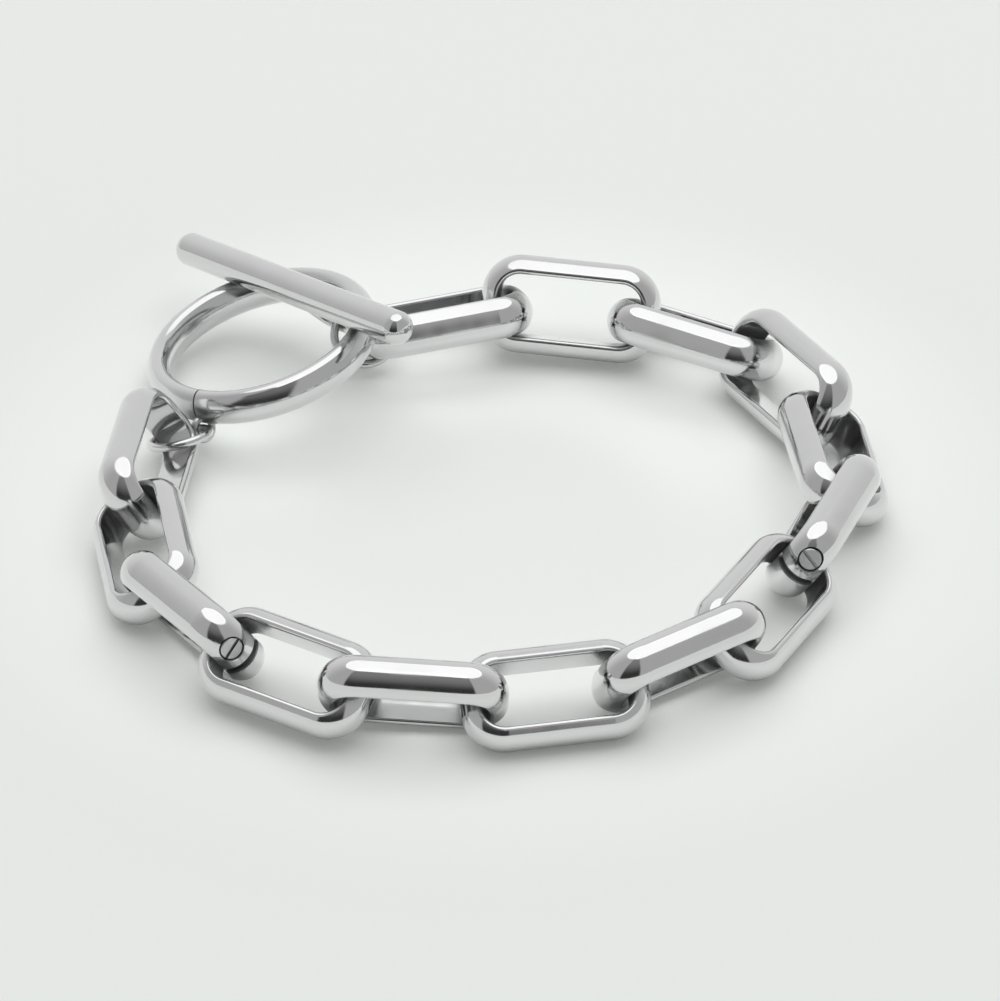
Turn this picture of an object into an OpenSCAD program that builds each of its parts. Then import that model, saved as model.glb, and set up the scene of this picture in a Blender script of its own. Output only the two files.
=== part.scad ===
// Link bracelet closed with a ring and bar clasp, lying on a flat surface.
// Fourteen rounded links made of domed band, each turned a quarter from the
// one before it; two of them carry a slotted screw at one corner.
// Millimetres and degrees. The surface it lies on is at height zero and the
// middle of its outline, seen from above, is the origin.

/* [Links] */
// Outer length of one link
link_length = 16.8; // [16.4:0.1:17.2]
// Outer width of one link
link_width = 9.2; // [9.2:0.05:9.4]
// Width of the band that the links are bent from
band_width = 3.9; // [3.7:0.05:3.9]
// Thickness of the band at its crown
band_thickness = 1.7; // [1.6:0.05:1.7]
// Rounding of the band's two edges
edge_radius = 0.35; // [0.25:0.05:0.4]
// Outer radius of a link's corners
corner_radius = 3.7; // [3.5:0.1:3.8]
// How far a straight joint stays short of taut
joint_play = 0.35; // [0.35:0.05:0.5]

/* [Clasp ring] */
// Outer diameter of the ring that the bar lies across
ring_diameter = 22.1; // [21.9:0.1:22.2]
// Thickness of its oval wire, measured outwards
ring_thickness = 2.4; // [2.2:0.1:2.4]
// Height of its oval wire
ring_height = 3.4; // [3.2:0.1:3.4]
// Rounding at the top and bottom of its wire
ring_tip_radius = 0.85; // [0.7:0.05:0.95]
// Width of the fine joint line round the wire
seam_width = 0.15; // [0.1:0.05:0.25]
// Depth of that line
seam_depth = 0.2; // [0.1:0.05:0.3]

/* [Clasp bar] */
// Length of the bar over its rounded ends
bar_length = 32.6; // [30:0.2:33]
// Diameter of the bar
bar_diameter = 3.15; // [2.9:0.05:3.2]
// Rounding of the bar's ends
bar_end_radius = 1.35; // [0.8:0.05:1.4]

/* [Jump rings and eyes] */
// Outer diameter of a jump ring
jump_diameter = 6.35; // [6.3:0.05:6.4]
// Wire of a jump ring
jump_wire = 0.8; // [0.7:0.05:0.8]
// Mean diameter of the soldered eyes
eye_diameter = 2; // [1.9:0.05:2.1]
// Wire of the soldered eyes
eye_wire = 0.7; // [0.6:0.05:0.75]

/* [Screws] */
// Diameter of a screw's head
head_diameter = 2; // [1.9:0.05:2.2]
// Thickness of a screw's head
head_height = 0.5; // [0.4:0.05:0.6]
// How far the head lies below the crown
head_sink = 0.25; // [0.15:0.05:0.3]
// Bevel round the top of the head
head_bevel = 0.08; // [0.04:0.01:0.12]
// Width of the slot in the head
slot_width = 0.3; // [0.25:0.05:0.45]
// Depth of the slot
slot_depth = 0.25; // [0.15:0.05:0.3]
// Diameter of the shank below the head
shank_diameter = 1.2; // [1:0.1:1.4]
// Length of the shank
shank_length = 0.5; // [0.4:0.05:0.55]
// Gap between a screw and its hole
screw_gap = 0.1; // [0.08:0.01:0.12]
// Least depth of the countersink round a screw's hole
sink_depth = 0.1; // [0.05:0.01:0.15]
// Width of the groove across the end bar beside a screw
groove_width = 0.6; // [0.4:0.05:0.7]
// Depth of that groove
groove_depth = 0.5; // [0.3:0.05:0.6]
// Width and depth of the fine step along its edges
groove_step = 0.1; // [0.05:0.01:0.15]

/* [Hidden] */
$fn = 96;

// The lie of the links, first to last: heading seen from above, rise of the
// leading end, roll about the long axis, and height of the lowest point.
course = [
    [-98.5, 0, 126, 0.4],
    [-80, 0, 33, 0.1],
    [-53.5, 2, 123, 0],
    [-30.5, 0, 33, 0.5],
    [-3.5, -2, 123, 0.1],
    [10.5, 0, 33, 0],
    [32.5, 2, 123, 0.1],
    [60.5, 0, 33, 0.2],
    [68, 0, 123, 0],
    [99, 0, 33, 0.1],
    [121, -2, 123, 0],
    [154.5, 2, 33, 0.1],
    [172.5, 2, 120, 0.4],
    [192.5, -4, 25, 0.2]
];
// Extra play where a joint turns, for the inner corners of its two links.
turning_play = 2.7;

// The clasp stands in a frame of its own: it starts over the first link's
// leading end bar, points at the last link's and is as long as the ring's
// diameter and this much more.
span_beyond_ring = 1;
// Where the ring lies: beyond its own radius along the frame, aside, height.
ring_place = [2.23, 2.54, 5.1];
ring_lean = [15.5, 131.6];
// The eye and the joint line, turned about the ring's own axis.
ring_eye_turn = 68;
ring_eye_drop = 1.65;
ring_eye_reach = 1.16;
ring_eye_axis = [103, -34.3];
seam_turn = 66;
// The bar, the jump rings beside it and the one at the first link: each one's
// place, and how far its axis leans from upright and in which direction.
bar_place = [-5.61, 3.38, 9.26];
bar_lean = [77.7, -86.6];
bar_roll = 46;
bar_eye_drop = 2.18;
jump_a_place = [0.53, -1.68, 2.61];
jump_a_lean = [25.8, 82.9];
jump_b_place = [0.23, 0.31, 3.03];
jump_b_lean = [39.5, -117.9];
jump_c_place = [-2.36, 2.81, 5.43];
jump_c_lean = [56.3, 11.7];

// Where each screw sits: how far round the corner from the link's end, and
// where the groove crosses the end bar, as a share of the bar's half length.
seat_c = [16, -0.45];
seat_i = [28, 0.25];
// Both screws lean to one side of the band, and their slots lie across it.
screw_lean = 8;
slot_turn = 105;
// How fast the countersink widens.
sink_slope = 0.6;

// Derived sizes of a link.
arm_half = link_length / 2 - corner_radius;
bar_half = link_width / 2 - corner_radius;
inner_radius = corner_radius - band_thickness;
tip_offset = band_width / 2 - edge_radius;
crown_radius = (pow(band_thickness - edge_radius, 2) + pow(tip_offset, 2)
    - pow(edge_radius, 2)) / (2 * (band_thickness - 2 * edge_radius));
crown_centre = band_thickness - crown_radius;
crown_height = tip_offset * crown_radius / (crown_radius - edge_radius);
end_bar_reach = link_length / 2 - band_thickness / 2;

quarter = 90;

// Turning a point about one axis.
function about_x(a, p) = [p.x, p.y * cos(a) - p.z * sin(a),
    p.y * sin(a) + p.z * cos(a)];
function about_y(a, p) = [p.x * cos(a) + p.z * sin(a), p.y,
    p.z * cos(a) - p.x * sin(a)];
function about_z(a, p) = [p.x * cos(a) - p.y * sin(a),
    p.x * sin(a) + p.y * cos(a), p.z];

// How far a link reaches in a direction given in its own frame.
function band_reach(out, up) =
    up * (edge_radius - crown_centre) <= out * tip_offset
        ? crown_centre * out + crown_radius * norm([out, up])
        : edge_radius * out + tip_offset * up + edge_radius * norm([out, up]);
function link_reach(d) = arm_half * abs(d.x) + bar_half * abs(d.y)
    + inner_radius * norm([d.x, d.y])
    + band_reach(norm([d.x, d.y]), abs(d.z));
// A direction of the world seen from a link's frame.
function in_link(row, d) =
    about_x(-row[2], about_y(row[1], about_z(-row[0], d)));

// The links' middles follow from the course, one step after another. The
// curl is a small turn shared out over the links, so that the chain still
// meets the clasp when a size is changed.
last = len(course) - 1;
function heading(i, curl) = course[i][0] + curl * (i / last - 1 / 2);
function forward(i, curl) = cos(course[i][1])
    * [cos(heading(i, curl)), sin(heading(i, curl))];
function turned(i) = abs(course[i + 1][0] - course[i][0]);
function stride(i, curl) = let(both = forward(i, curl) + forward(i + 1, curl))
    both * (link_length / 2 - band_thickness)
    - both / norm(both) * (joint_play + turning_play * sin(turned(i)));
function walk(curl, i = 0, at = [0, 0], done = []) =
    i == last ? concat(done, [at])
        : walk(curl, i + 1, at + stride(i, curl), concat(done, [at]));
// From the first link's end bar to the last link's, seen from above.
function ends(curl) = let(w = walk(curl))
    [-end_bar_reach * forward(0, curl),
        w[last] + end_bar_reach * forward(last, curl)];
function opening(curl) = let(e = ends(curl)) norm(e[1] - e[0]);
// More curl brings the two ends together, so halving finds the right one.
halvings = 24;
function find_curl(low, high, n) = let(mid = (low + high) / 2)
    n == 0 ? mid
        : opening(mid) > clasp_span ? find_curl(mid, high, n - 1)
            : find_curl(low, mid, n - 1);
clasp_span = ring_diameter + span_beyond_ring;
curl = find_curl(-quarter / 2, quarter / 2, halvings);

path = walk(curl);
end_points = ends(curl);
clasp_heading = atan2(end_points[1].y - end_points[0].y,
    end_points[1].x - end_points[0].x);
function lie(i) = [heading(i, curl), course[i][1], course[i][2]];
down = [0, 0, -1];
function link_height(i) = link_reach(in_link(lie(i), down)) + course[i][3];
function link_middle(i) = [path[i].x, path[i].y, link_height(i)];

// A place in the clasp's frame, from its start or from its far end.
function from_start(p) = about_z(clasp_heading, p)
    + [end_points[0].x, end_points[0].y, 0];
function from_end(p) = from_start(p + [clasp_span, 0, 0]);
bar_middle = from_end(bar_place);
bar_axis = about_z(bar_lean[1] + clasp_heading,
    [sin(bar_lean[0]), 0, cos(bar_lean[0])]);

// The outline seen from above gives the shift that centres it.
function link_edge(i, d) = link_middle(i) * d + link_reach(in_link(lie(i), d));
function bar_edge(d) = bar_middle * d
    + (bar_length / 2 - bar_end_radius) * abs(bar_axis * d)
    + (bar_diameter / 2 - bar_end_radius) * norm(cross(bar_axis, d))
    + bar_end_radius;
function edge(d) = max(bar_edge(d),
    max([for (i = [0 : last]) link_edge(i, d)]));
centring = [edge([-1, 0, 0]) - edge([1, 0, 0]),
    edge([0, -1, 0]) - edge([0, 1, 0]), 0] / 2;

steel = [0.78, 0.79, 0.8];

// Half-round band seen end on: flat inside at zero, crown outwards.
module band_section() {
    for (s = [-1, 1])
        translate([edge_radius, s * tip_offset]) circle(r = edge_radius);
    translate([0, -tip_offset]) square([edge_radius, 2 * tip_offset]);
    intersection() {
        translate([crown_centre, 0]) circle(r = crown_radius);
        translate([edge_radius, -crown_height])
            square([band_thickness, 2 * crown_height]);
    }
}

// The part of the band that a groove of some depth leaves standing.
module groove_core(depth) {
    intersection() {
        translate([crown_centre, 0]) circle(r = crown_radius - depth);
        translate([0, depth - band_width / 2])
            square([band_thickness, band_width - 2 * depth]);
    }
}

// One side of a link, lying outwards along the y axis.
module side(half_length, offset) {
    translate([0, offset, 0])
        rotate([quarter, 0, quarter])
            linear_extrude(height = 2 * half_length, center = true)
                band_section();
}

module plain_link() {
    for (s = [0, 1]) rotate([0, 0, 2 * quarter * s]) {
        side(arm_half, bar_half + inner_radius);
        rotate([0, 0, -quarter]) side(bar_half, arm_half + inner_radius);
    }
    for (mx = [0, 1], my = [0, 1]) mirror([mx, 0, 0]) mirror([0, my, 0])
        translate([arm_half, bar_half, 0])
            rotate_extrude(angle = quarter)
                translate([inner_radius, 0]) band_section();
}

// Puts its children at the screw's corner, looking outwards along z from
// the top of the crown.
module at_screw(seat) {
    translate([arm_half, bar_half, 0])
        rotate([0, 0, seat[0]])
            translate([inner_radius + crown_centre, 0, 0])
                rotate([0, quarter - screw_lean, 0])
                    translate([0, 0, crown_radius])
                        children();
}

module groove_cut(width, depth, seat) {
    translate([arm_half + inner_radius, bar_half * seat[1], 0])
        rotate([quarter, 0, 0])
            linear_extrude(height = width, center = true)
                difference() {
                    translate([edge_radius, -band_width])
                        square([band_width, 2 * band_width]);
                    groove_core(depth);
                }
}

// A link with the hole for its screw and the groove beside it.
module screw_link(seat) {
    hole = head_diameter + 2 * screw_gap;
    rim = crown_radius - sqrt(pow(crown_radius, 2) - pow(hole / 2, 2));
    floor_depth = head_sink + head_height + screw_gap;
    difference() {
        plain_link();
        at_screw(seat) {
            translate([0, 0, -floor_depth])
                cylinder(d = hole, h = band_width);
            translate([0, 0, -floor_depth - shank_length])
                cylinder(d = shank_diameter + 2 * screw_gap, h = band_width);
            translate([0, 0, -rim - sink_depth])
                cylinder(d1 = hole, d2 = hole + 2 * sink_slope * band_width,
                    h = band_width);
        }
        groove_cut(groove_width, groove_depth, seat);
        groove_cut(groove_width + 2 * groove_step, groove_step, seat);
    }
}

module screw(seat) {
    at_screw(seat) translate([0, 0, -head_sink]) difference() {
        union() {
            translate([0, 0, -head_bevel])
                cylinder(d1 = head_diameter,
                    d2 = head_diameter - 2 * head_bevel, h = head_bevel);
            translate([0, 0, -head_height])
                cylinder(d = head_diameter, h = head_height - head_bevel);
            translate([0, 0, -head_height - shank_length])
                cylinder(d = shank_diameter, h = shank_length + head_bevel);
        }
        rotate([0, 0, slot_turn])
            translate([-slot_width / 2, -head_diameter, -slot_depth])
                cube([slot_width, 2 * head_diameter, head_height]);
    }
}

module wire_ring(mean_diameter, wire) {
    rotate_extrude() translate([mean_diameter / 2, 0]) circle(d = wire);
}

// Oval of four arcs, standing on its narrow end round the origin.
module oval(thickness, height, tip) {
    half = thickness / 2;
    rise = height / 2 - tip;
    big = (half * half + rise * rise - tip * tip) / (2 * (half - tip));
    meet = rise * big / (big - tip);
    for (s = [-1, 1]) translate([0, s * rise]) circle(r = tip);
    intersection() {
        translate([half - big, 0]) circle(r = big);
        translate([big - half, 0]) circle(r = big);
        translate([-thickness, -meet]) square([2 * thickness, 2 * meet]);
    }
}

ring_mean_radius = (ring_diameter - ring_thickness) / 2;

module ring_body() {
    rotate_extrude() translate([ring_mean_radius, 0])
        oval(ring_thickness, ring_height, ring_tip_radius);
}

// The thin slice that the joint line takes off the wire.
module seam() {
    rotate([0, 0, seam_turn])
        translate([ring_mean_radius, 0, 0])
            rotate([quarter, 0, 0])
                linear_extrude(height = seam_width, center = true)
                    difference() {
                        square(2 * ring_height, center = true);
                        oval(ring_thickness - 2 * seam_depth,
                            ring_height - 2 * seam_depth,
                            ring_tip_radius - seam_depth);
                    }
}

// Puts its children in place in the clasp.
module placed(middle, lean) {
    translate(middle) rotate([0, lean[0], lean[1] + clasp_heading]) children();
}

module on_course(i) {
    translate(centring + link_middle(i))
        rotate([lie(i)[2], -lie(i)[1], lie(i)[0]]) children();
}

module clasp_ring() {
    color(steel) translate(centring)
        placed(from_start(ring_place + [ring_diameter / 2, 0, 0]), ring_lean) {
            difference() {
                ring_body();
                seam();
            }
            rotate([0, 0, ring_eye_turn])
                translate([ring_mean_radius + ring_eye_reach, 0, -ring_eye_drop])
                    rotate([0, ring_eye_axis[0],
                            ring_eye_axis[1] - ring_eye_turn])
                        wire_ring(eye_diameter, eye_wire);
        }
}

module clasp_bar() {
    flat = bar_diameter / 2 - bar_end_radius;
    reach = bar_length / 2 - bar_end_radius;
    color(steel) translate(centring) placed(bar_middle, bar_lean)
        rotate([0, 0, bar_roll]) {
            rotate_extrude() {
                translate([0, -reach]) square([bar_diameter / 2, 2 * reach]);
                translate([0, -bar_length / 2]) square([flat, bar_length]);
                for (s = [-1, 1]) translate([flat, s * reach])
                    intersection() {
                        circle(r = bar_end_radius);
                        translate([0, -bar_end_radius])
                            square(2 * bar_end_radius);
                    }
            }
            translate([bar_eye_drop, 0, 0]) wire_ring(eye_diameter, eye_wire);
        }
}

module jump_ring(middle, lean) {
    color(steel) translate(centring) placed(middle, lean)
        wire_ring(jump_diameter - jump_wire, jump_wire);
}

module link(i) {
    color(steel) on_course(i) plain_link();
}

module link_a() { link(0); }
module link_b() { link(1); }
module link_c() { color(steel) on_course(2) screw_link(seat_c); }
module link_d() { link(3); }
module link_e() { link(4); }
module link_f() { link(5); }
module link_g() { link(6); }
module link_h() { link(7); }
module link_i() {
    color(steel) on_course(8) mirror([1, 0, 0]) screw_link(seat_i);
}
module link_j() { link(9); }
module link_k() { link(10); }
module link_l() { link(11); }
module link_m() { link(12); }
module link_n() { link(last); }
module screw_c() { color(steel) on_course(2) screw(seat_c); }
module screw_i() {
    color(steel) on_course(8) mirror([1, 0, 0]) screw(seat_i);
}
module jump_ring_a() { jump_ring(from_start(jump_a_place), jump_a_lean); }
module jump_ring_b() { jump_ring(from_end(jump_b_place), jump_b_lean); }
module jump_ring_c() { jump_ring(from_end(jump_c_place), jump_c_lean); }

link_a();
link_b();
link_c();
link_d();
link_e();
link_f();
link_g();
link_h();
link_i();
link_j();
link_k();
link_l();
link_m();
link_n();
screw_c();
screw_i();
clasp_ring();
clasp_bar();
jump_ring_a();
jump_ring_b();
jump_ring_c();
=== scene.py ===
"""Finishes a polished link bracelet and sets it in a pale photo studio.

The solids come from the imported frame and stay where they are. Lengths are in
metres, and the surface that the bracelet lies on is at height zero.
"""

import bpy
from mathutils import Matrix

bl_info = {
    "name": "Link Bracelet Finish",
    "version": (1, 0, 0),
    "blender": (4, 5, 0),
    "location": "View3D > Sidebar > Bracelet",
    "description": "Polished metal, screws and a soft studio for a link bracelet",
    "category": "Object",
}

import math

import bmesh
import bpy
from bpy.props import FloatProperty, FloatVectorProperty, PointerProperty
from mathutils import Vector

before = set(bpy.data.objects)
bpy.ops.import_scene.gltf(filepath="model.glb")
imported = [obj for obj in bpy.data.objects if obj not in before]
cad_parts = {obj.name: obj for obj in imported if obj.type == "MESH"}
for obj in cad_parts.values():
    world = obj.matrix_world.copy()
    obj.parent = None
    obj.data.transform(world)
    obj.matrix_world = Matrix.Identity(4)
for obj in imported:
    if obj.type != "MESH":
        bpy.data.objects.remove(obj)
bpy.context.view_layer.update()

LINKS = sorted(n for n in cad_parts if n.startswith("link_"))
SCREWS = sorted(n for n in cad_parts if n.startswith("screw_"))
JUMP_RINGS = sorted(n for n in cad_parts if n.startswith("jump_ring_"))
CLASP = ["clasp_ring", "clasp_bar"]


# Sizes and colours that a user would change.

class PolishSettings(bpy.types.PropertyGroup):
    link_colour: FloatVectorProperty(
        name="Link metal", description="Colour of the polished links",
        subtype="COLOR", size=3, min=0, max=1, default=(0.68, 0.68, 0.685))
    clasp_colour: FloatVectorProperty(
        name="Clasp metal", description="Colour of the ring, the bar and the jump rings",
        subtype="COLOR", size=3, min=0, max=1, default=(0.68, 0.68, 0.685))
    screw_colour: FloatVectorProperty(
        name="Screw metal", description="Colour of the turned screw heads",
        subtype="COLOR", size=3, min=0, max=1, default=(0.6, 0.6, 0.61))
    wave_depth: FloatProperty(
        name="Wave depth", description="Depth of the soft waves that hand polishing leaves",
        subtype="DISTANCE", unit="LENGTH", min=0, max=0.0001, precision=6,
        default=0.00003)
    wave_size: FloatProperty(
        name="Wave size", description="Width of one soft wave",
        subtype="DISTANCE", unit="LENGTH", min=0.0005, max=0.02, precision=4,
        default=0.004)
    scratch_size: FloatProperty(
        name="Scratch size", description="Spacing of the finest polishing scratches",
        subtype="DISTANCE", unit="LENGTH", min=0.00001, max=0.001, precision=5,
        default=0.00012)


class StudioSettings(bpy.types.PropertyGroup):
    floor_colour: FloatVectorProperty(
        name="Floor", description="Colour of the paper that the bracelet lies on",
        subtype="COLOR", size=3, min=0, max=1, default=(0.79, 0.813, 0.79))
    # Painted light: the paper's colour is whitened around the bracelet to lift out its shadows
    # there.
    floor_painted_light: FloatProperty(
        name="Floor lift", description="How much whiter the paper is around the bracelet",
        min=0, max=0.12, default=0.12)
    floor_glow: FloatProperty(
        name="Floor glow", description="Light that the white paper gives off by itself",
        min=0, max=1, default=0.115)
    floor_radius: FloatProperty(
        name="Floor radius", description="How far the paper reaches",
        subtype="DISTANCE", unit="LENGTH", min=0.5, max=20, default=4)
    box_height: FloatProperty(
        name="Light height", description="Height of the soft light over the floor",
        subtype="DISTANCE", unit="LENGTH", min=0.2, max=3, default=1.5)
    box_radiance: FloatProperty(
        name="Light in metal", description="Brightness of the soft light's face in the metal",
        min=0, max=10, default=1.42)
    paper_radiance: FloatProperty(
        name="Light on paper", description="Brightness of the soft light for the paper",
        min=0, max=10, default=2.6)
    camera_distance: FloatProperty(
        name="Camera distance", description="From the camera to the middle of the picture",
        subtype="DISTANCE", unit="LENGTH", min=0.2, max=5, default=0.7059)
    camera_elevation: FloatProperty(
        name="Camera elevation", description="Height of the camera's view above level",
        subtype="ANGLE", unit="ROTATION", min=0, max=math.pi / 2,
        default=math.radians(36.42))
    picture_width: FloatProperty(
        name="Picture width", description="Width of the picture at the bracelet",
        subtype="DISTANCE", unit="LENGTH", min=0.02, max=1, default=0.09112)


# Small helpers for shader nodes.

def add_node(tree, kind, **settings):
    """A node of one kind, with its plain settings made."""
    made = tree.nodes.new(kind)
    for name, value in settings.items():
        setattr(made, name, value)
    return made


def feed(tree, source, target):
    """Joins a socket, or sets a value, to an input socket."""
    if isinstance(source, bpy.types.NodeSocket):
        tree.links.new(source, target)
    else:
        target.default_value = source


def math_node(tree, operation, *sources):
    """The result of one sum on numbers or sockets."""
    made = add_node(tree, "ShaderNodeMath", operation=operation)
    for source, target in zip(sources, made.inputs):
        feed(tree, source, target)
    return made.outputs[0]


def ramp(tree, value, low, high, to_low=0.0, to_high=1.0):
    """Value taken smoothly from low..high to to_low..to_high, and held there."""
    made = add_node(tree, "ShaderNodeMapRange", interpolation_type="SMOOTHSTEP")
    for source, name in ((value, "Value"), (low, "From Min"), (high, "From Max"),
                         (to_low, "To Min"), (to_high, "To Max")):
        feed(tree, source, made.inputs[name])
    return made.outputs["Result"]


def noise(tree, place, scale, detail=2.0, stretch=(1.0, 1.0, 1.0)):
    """Smooth noise on Object coordinates, scale in bumps a metre."""
    mapping = add_node(tree, "ShaderNodeMapping")
    mapping.inputs["Scale"].default_value = stretch
    feed(tree, place, mapping.inputs["Vector"])
    made = add_node(tree, "ShaderNodeTexNoise", noise_dimensions="3D")
    feed(tree, mapping.outputs["Vector"], made.inputs["Vector"])
    feed(tree, scale, made.inputs["Scale"])
    made.inputs["Detail"].default_value = detail
    return made.outputs["Fac"]


def new_group(name, inputs, outputs):
    """A shader node group with number inputs and outputs."""
    group = bpy.data.node_groups.new(name, "ShaderNodeTree")
    for socket, default in inputs.items():
        made = group.interface.new_socket(socket, in_out="INPUT", socket_type="NodeSocketFloat")
        made.default_value = default
    for socket in outputs:
        group.interface.new_socket(socket, in_out="OUTPUT", socket_type="NodeSocketFloat")
    return group, add_node(group, "NodeGroupInput"), add_node(group, "NodeGroupOutput")


# Haze patches for each wave's width. Haze and scratches grow as their noise goes from
# the first to the second value.
HAZE_PER_WAVE = 0.6
HAZE_SHOWS = (0.45, 0.75)
SCRATCHES_SHOW = (0.6, 0.85)
# The two crossed sets of scratches are drawn out along Y and along X.
SCRATCH_STRETCHES = ((1.0, 0.06, 0.3), (0.08, 1.0, 0.4))


def hand_polish_group():
    """Soft waves, wiping haze and fine crossed scratches of hand-polished metal."""
    name = "hand polish"
    if name in bpy.data.node_groups:
        return bpy.data.node_groups[name]
    group, given, result = new_group(
        name, {"Wave size": 0.003, "Scratch size": 0.0001}, ["Waves", "Haze", "Scratches"])
    place = add_node(group, "ShaderNodeTexCoord").outputs["Object"]
    wave_scale = math_node(group, "DIVIDE", 1.0, given.outputs["Wave size"])
    scratch_scale = math_node(group, "DIVIDE", 1.0, given.outputs["Scratch size"])
    waves = noise(group, place, wave_scale, detail=1.0)
    haze_scale = math_node(group, "MULTIPLY", wave_scale, HAZE_PER_WAVE)
    haze = noise(group, place, haze_scale, detail=4.0)
    one_way, other_way = (noise(group, place, scratch_scale, detail=3.0, stretch=stretch)
                          for stretch in SCRATCH_STRETCHES)
    crossed = math_node(group, "MAXIMUM", one_way, other_way)
    feed(group, waves, result.inputs["Waves"])
    feed(group, ramp(group, haze, *HAZE_SHOWS), result.inputs["Haze"])
    feed(group, ramp(group, crossed, *SCRATCHES_SHOW), result.inputs["Scratches"])
    return group


# Materials.

# Roughness of clean and of hazy metal.
POLISHED = (0.1, 0.18)
TURNED = (0.25, 0.35)
# How much a full scratch dulls the metal beside full haze, and how dark haze is.
SCRATCH_DULLING = 0.5
HAZE_SHADE = 0.96
# In nooks between surfaces as near as this, painted shade darkens the metal's colour, and its
# roughness is raised, beside the open metal.
# From the first openness to the second, where 0 is shut and 1 is free, the painted shade or
# the least roughness goes from the third value to the fourth.
NOOK_REACH = 0.003
NOOK_SAMPLES = 8
NOOK_PAINTED_SHADE = (0.15, 0.85, 0.42, 1.0)
NOOK_DULLING = (0.25, 0.92, 0.55, 0.0)


def polished_metal(name, colour, clean_and_hazy, polish):
    """Mirror-polished metal whose gloss wanders a little, as a cloth leaves it, with painted
    shade in its nooks.
    """
    material = bpy.data.materials.new(name)
    material.use_nodes = True
    tree = material.node_tree
    shader = tree.nodes["Principled BSDF"]
    shader.inputs["Metallic"].default_value = 1.0
    wear = add_node(tree, "ShaderNodeGroup", node_tree=hand_polish_group())
    wear.inputs["Wave size"].default_value = polish.wave_size
    wear.inputs["Scratch size"].default_value = polish.scratch_size
    dulling = math_node(tree, "MAXIMUM", wear.outputs["Haze"],
                        math_node(tree, "MULTIPLY", wear.outputs["Scratches"],
                                  SCRATCH_DULLING))
    gloss = ramp(tree, dulling, 0.0, 1.0, *clean_and_hazy)
    nook = add_node(tree, "ShaderNodeAmbientOcclusion", samples=NOOK_SAMPLES)
    nook.inputs["Distance"].default_value = NOOK_REACH
    openness = nook.outputs["AO"]
    feed(tree, math_node(tree, "MAXIMUM", gloss, ramp(tree, openness, *NOOK_DULLING)),
         shader.inputs["Roughness"])
    tint = add_node(tree, "ShaderNodeMix", data_type="RGBA")
    feed(tree, wear.outputs["Haze"], tint.inputs["Factor"])
    tint.inputs["A"].default_value = (*colour, 1.0)
    tint.inputs["B"].default_value = (*(HAZE_SHADE * c for c in colour), 1.0)
    # Painted shade: the metal's colour is darkened in nooks where other surfaces are near.
    nook_painted_shade = add_node(tree, "ShaderNodeVectorMath", operation="SCALE")
    feed(tree, tint.outputs["Result"], nook_painted_shade.inputs[0])
    feed(tree, ramp(tree, openness, *NOOK_PAINTED_SHADE), nook_painted_shade.inputs["Scale"])
    feed(tree, nook_painted_shade.outputs["Vector"], shader.inputs["Base Color"])
    bump = add_node(tree, "ShaderNodeBump")
    bump.inputs["Strength"].default_value = 1.0
    bump.inputs["Distance"].default_value = polish.wave_depth
    feed(tree, wear.outputs["Waves"], bump.inputs["Height"])
    feed(tree, bump.outputs["Normal"], shader.inputs["Normal"])
    return material


# The paper's grain, in grains a metre, and the shades between which it wanders.
GRAIN_SCALE = 900.0
GRAIN_SHADES = (0.997, 1.003)
# The ring of painted light, which whitens the paper's colour to lift out the bracelet's
# shadows, grows and ends between these distances from its middle, inside which a share of it is
# left.
# So does a second ring of painted light inside the loop, where the back links' shadow falls,
# which is only there at the back, from one Y to the other.
PAINTED_LIGHT_RING = ((0.012, 0.03), (0.034, 0.056))
PAINTED_LIGHT_MIDDLE = 0.4
INNER_PAINTED_LIGHT_RING = ((0.01, 0.02), (0.026, 0.036))
INNER_PAINTED_LIGHT_BACK = (-0.005, 0.012)
# The tint of the paper's own light, and how much more of it the metal sees.
GLOW_TINT = (0.985, 1.015, 0.985)
PAPER_IN_METAL = 0.08


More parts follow.
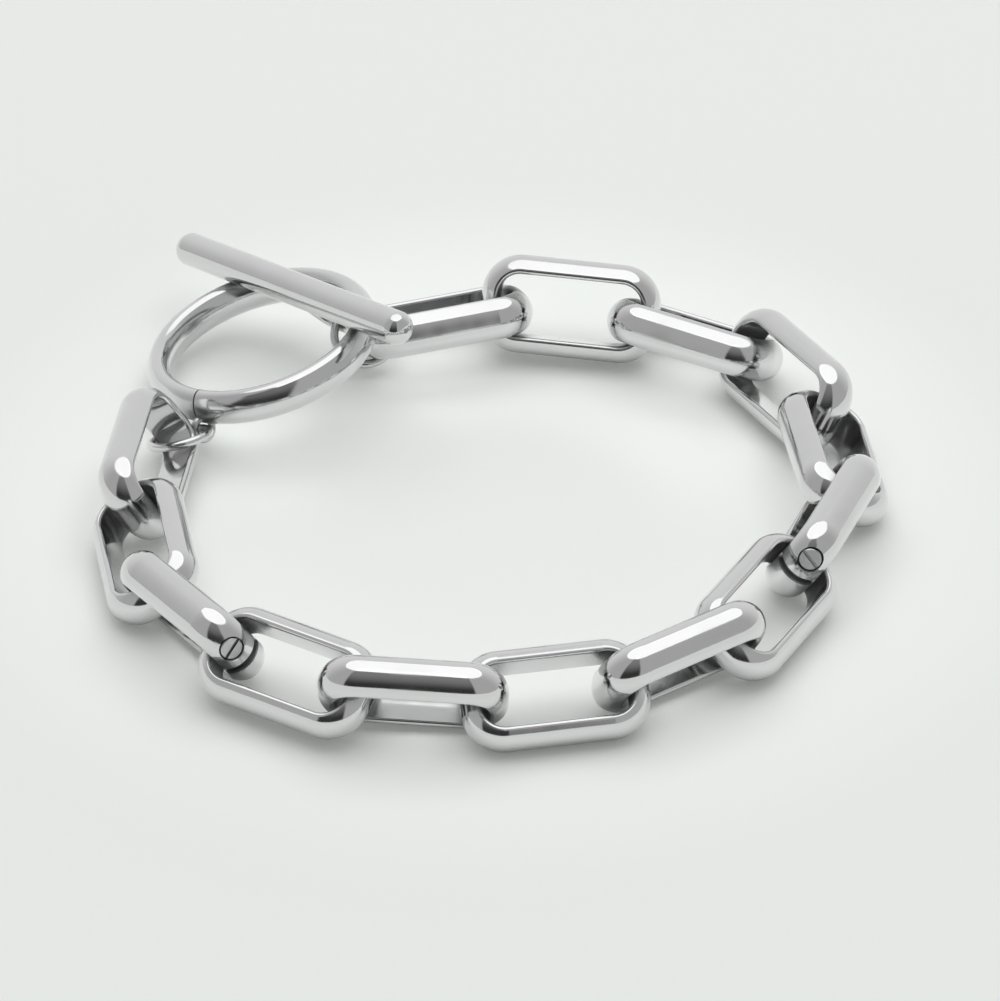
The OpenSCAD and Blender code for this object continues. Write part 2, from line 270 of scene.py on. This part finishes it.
def floor_paper(studio):
    """Matt pale paper with a barely visible grain, whiter around the bracelet where light is
    painted in to lift out its shadows.
    """
    material = bpy.data.materials.new("pale paper")
    material.use_nodes = True
    tree = material.node_tree
    shader = tree.nodes["Principled BSDF"]
    shader.inputs["Roughness"].default_value = 0.95
    shader.inputs["Specular IOR Level"].default_value = 0.0
    place = add_node(tree, "ShaderNodeTexCoord").outputs["Object"]
    tint = add_node(tree, "ShaderNodeMix", data_type="RGBA")
    feed(tree, noise(tree, place, GRAIN_SCALE, detail=4.0), tint.inputs["Factor"])
    for socket, grain in zip(("A", "B"), GRAIN_SHADES):
        tint.inputs[socket].default_value = (*(grain * c for c in studio.floor_colour), 1.0)
    spread = add_node(tree, "ShaderNodeVectorMath", operation="LENGTH")
    feed(tree, place, spread.inputs[0])
    split = add_node(tree, "ShaderNodeSeparateXYZ")
    feed(tree, place, split.inputs[0])
    back = ramp(tree, split.outputs["Y"], *INNER_PAINTED_LIGHT_BACK)
    # Painted light: the paper's colour is scaled up in rings around the bracelet, lifting out
    # its shadows.
    lift = 1.0
    for (inside, outside), least, share in ((PAINTED_LIGHT_RING, PAINTED_LIGHT_MIDDLE, 1.0),
                                            (INNER_PAINTED_LIGHT_RING, 0.0, back)):
        ring = math_node(tree, "MULTIPLY",
                         ramp(tree, spread.outputs["Value"], *inside, least, 1.0),
                         ramp(tree, spread.outputs["Value"], *outside, 1.0, 0.0))
        ring = math_node(tree, "MULTIPLY", ring, share)
        lift = math_node(tree, "MULTIPLY_ADD", ring, studio.floor_painted_light, lift)
    lifted = add_node(tree, "ShaderNodeVectorMath", operation="SCALE")
    feed(tree, tint.outputs["Result"], lifted.inputs[0])
    feed(tree, lift, lifted.inputs["Scale"])
    feed(tree, lifted.outputs["Vector"], shader.inputs["Base Color"])
    shader.inputs["Emission Color"].default_value = (*GLOW_TINT, 1.0)
    from_metal = add_node(tree, "ShaderNodeLightPath").outputs["Is Glossy Ray"]
    glow = math_node(tree, "MULTIPLY_ADD", from_metal, PAPER_IN_METAL, studio.floor_glow)
    feed(tree, glow, shader.inputs["Emission Strength"])
    return material


def dress(names, material):
    """Gives CAD nodes a material in every slot."""
    for name in names:
        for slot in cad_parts[name].material_slots:
            slot.material = material


# Operators.

class BRACELET_OT_finish_links(bpy.types.Operator):
    """Gives the links their mirror polish"""
    bl_idname = "bracelet.finish_links"
    bl_label = "Finish links"

    def execute(self, context):
        polish = context.scene.bracelet_polish
        dress(LINKS, polished_metal("polished link metal", polish.link_colour,
                                    POLISHED, polish))
        return {"FINISHED"}


class BRACELET_OT_finish_screws(bpy.types.Operator):
    """Gives the screws their turned and slotted finish"""
    bl_idname = "bracelet.finish_screws"
    bl_label = "Finish screws"

    def execute(self, context):
        polish = context.scene.bracelet_polish
        dress(SCREWS, polished_metal("turned screw metal", polish.screw_colour,
                                     TURNED, polish))
        return {"FINISHED"}


class BRACELET_OT_finish_clasp(bpy.types.Operator):
    """Gives the ring, the bar and the jump rings their polish"""
    bl_idname = "bracelet.finish_clasp"
    bl_label = "Finish clasp"

    def execute(self, context):
        polish = context.scene.bracelet_polish
        dress(CLASP + JUMP_RINGS, polished_metal("polished clasp metal",
                                                 polish.clasp_colour, POLISHED, polish))
        return {"FINISHED"}


def make_floor(studio):
    """A wide round sheet of paper under the bracelet."""
    mesh = bpy.data.meshes.new("floor")
    shape = bmesh.new()
    bmesh.ops.create_circle(shape, cap_ends=True, segments=96, radius=studio.floor_radius)
    shape.to_mesh(mesh)
    shape.free()
    floor = bpy.data.objects.new("floor", mesh)
    bpy.context.scene.collection.objects.link(floor)
    mesh.materials.append(floor_paper(studio))


# Where the oval soft light's edges lie, as shares of its height.
BOX_X = (-0.58, 0.7)
BOX_Y = (-0.28, 0.99)


def make_soft_light(studio):
    """One soft light overhead and a little behind, with its glare in metal held back."""
    height = studio.box_height
    for name, radiance, in_metal in (("soft light", studio.box_radiance, True),
                                     ("soft light on paper", studio.paper_radiance, False)):
        light = bpy.data.lights.new(name, "AREA")
        light.shape = "ELLIPSE"
        light.size = height * (BOX_X[1] - BOX_X[0])
        light.size_y = height * (BOX_Y[1] - BOX_Y[0])
        face = math.pi / 4 * light.size * light.size_y
        light.energy = radiance * math.pi * face
        holder = bpy.data.objects.new(name, light)
        holder.location = (height * sum(BOX_X) / 2, height * sum(BOX_Y) / 2, height)
        holder.visible_camera = False
        holder.visible_glossy = in_metal
        holder.visible_diffuse = not in_metal
        bpy.context.scene.collection.objects.link(holder)


# Brightness of the walls, from one Y of the direction to another.
WALL_SHADES = (-0.2, 1.0, 0.5, 0.87)
# The wall is black inside the light's outline, which fades in at its rim.
LIGHT_RIM = (0.85, 1.0)
# The dark opening's left and right edges, in X to the side for each unit ahead, and
# its brightness from one height of the direction to another.
OPENING_LEFT = (-0.95, -0.75)
OPENING_RIGHT = (0.27, 0.43)
OPENING_SHADES = (0.2, 1.0, 0.04, 0.26)
# The least height, or way ahead, that a direction is divided by.
LEAST_PART = 0.001


def make_surroundings(studio):
    """Grey studio walls, black behind the soft light and dark at the camera's side."""
    world = bpy.data.worlds.new("studio")
    world.use_nodes = True
    bpy.context.scene.world = world
    tree = world.node_tree
    background = tree.nodes["Background"]
    direction = add_node(tree, "ShaderNodeTexCoord").outputs["Generated"]
    split = add_node(tree, "ShaderNodeSeparateXYZ")
    feed(tree, direction, split.inputs[0])
    x, y, z = split.outputs
    wall = ramp(tree, y, *WALL_SHADES)
    up = math_node(tree, "MAXIMUM", z, LEAST_PART)
    reach = 0.0
    for side, (low, high) in ((x, BOX_X), (y, BOX_Y)):
        place = math_node(tree, "DIVIDE", side, up)
        off_middle = math_node(tree, "SUBTRACT", place, (low + high) / 2)
        share = math_node(tree, "DIVIDE", off_middle, (high - low) / 2)
        reach = math_node(tree, "MULTIPLY_ADD", share, share, reach)
    wall = math_node(tree, "MULTIPLY", wall, ramp(tree, reach, *LIGHT_RIM))
    ahead = math_node(tree, "MAXIMUM", math_node(tree, "MULTIPLY", y, -1.0), LEAST_PART)
    aside = math_node(tree, "DIVIDE", x, ahead)
    opening = math_node(tree, "MULTIPLY", ramp(tree, aside, *OPENING_LEFT),
                        ramp(tree, aside, *OPENING_RIGHT, 1.0, 0.0))
    walls = ramp(tree, opening, 0.0, 1.0, wall, ramp(tree, z, *OPENING_SHADES))
    seen = add_node(tree, "ShaderNodeMix", data_type="RGBA")
    feed(tree, add_node(tree, "ShaderNodeLightPath").outputs["Is Camera Ray"],
         seen.inputs["Factor"])
    feed(tree, walls, seen.inputs["A"])
    seen.inputs["B"].default_value = (*studio.floor_colour, 1.0)
    feed(tree, seen.outputs["Result"], background.inputs["Color"])


# The middle of the photo's frame, on the floor.
PICTURE_MIDDLE = Vector((0.00077, 0.00275, 0.0))
SENSOR_WIDTH = 36.0
# The nearest and the farthest that the camera sees.
SIGHT = (0.01, 100.0)


def make_camera(studio):
    """The camera at the photo's height and framing."""
    lens = bpy.data.cameras.new("camera")
    lens.sensor_fit = "HORIZONTAL"
    lens.sensor_width = SENSOR_WIDTH
    lens.lens = SENSOR_WIDTH * studio.camera_distance / studio.picture_width
    lens.clip_start, lens.clip_end = SIGHT
    camera = bpy.data.objects.new("camera", lens)
    rise = studio.camera_elevation
    back = Vector((0.0, -math.cos(rise), math.sin(rise)))
    camera.location = PICTURE_MIDDLE + studio.camera_distance * back
    camera.rotation_euler = (-back).to_track_quat("-Z", "Y").to_euler()
    bpy.context.scene.collection.objects.link(camera)
    bpy.context.scene.camera = camera


class BRACELET_OT_set_stage(bpy.types.Operator):
    """Makes the floor, the soft light, the studio walls and the camera"""
    bl_idname = "bracelet.set_stage"
    bl_label = "Set stage"

    def execute(self, context):
        studio = context.scene.bracelet_studio
        make_floor(studio)
        make_soft_light(studio)
        make_surroundings(studio)
        make_camera(studio)
        context.scene.view_settings.view_transform = "Standard"
        return {"FINISHED"}


class BRACELET_PT_panel(bpy.types.Panel):
    """Lists the steps and the settings of the bracelet"""
    bl_idname = "BRACELET_PT_panel"
    bl_label = "Link Bracelet"
    bl_space_type = "VIEW_3D"
    bl_region_type = "UI"
    bl_category = "Bracelet"

    def draw(self, context):
        layout = self.layout
        for group in (context.scene.bracelet_polish, context.scene.bracelet_studio):
            box = layout.box()
            for name in group.__annotations__:
                box.prop(group, name)
        for operator in STEPS:
            layout.operator(operator.bl_idname)


STEPS = (
    BRACELET_OT_set_stage,
    BRACELET_OT_finish_links,
    BRACELET_OT_finish_screws,
    BRACELET_OT_finish_clasp,
)
CLASSES = (PolishSettings, StudioSettings, *STEPS, BRACELET_PT_panel)


def register():
    for cls in CLASSES:
        bpy.utils.register_class(cls)
    bpy.types.Scene.bracelet_polish = PointerProperty(type=PolishSettings)
    bpy.types.Scene.bracelet_studio = PointerProperty(type=StudioSettings)


def unregister():
    del bpy.types.Scene.bracelet_studio
    del bpy.types.Scene.bracelet_polish
    for cls in reversed(CLASSES):
        bpy.utils.unregister_class(cls)


def main():
    register()
    bpy.ops.bracelet.set_stage()
    bpy.ops.bracelet.finish_links()
    bpy.ops.bracelet.finish_screws()
    bpy.ops.bracelet.finish_clasp()


if __name__ == "__main__":
    main()
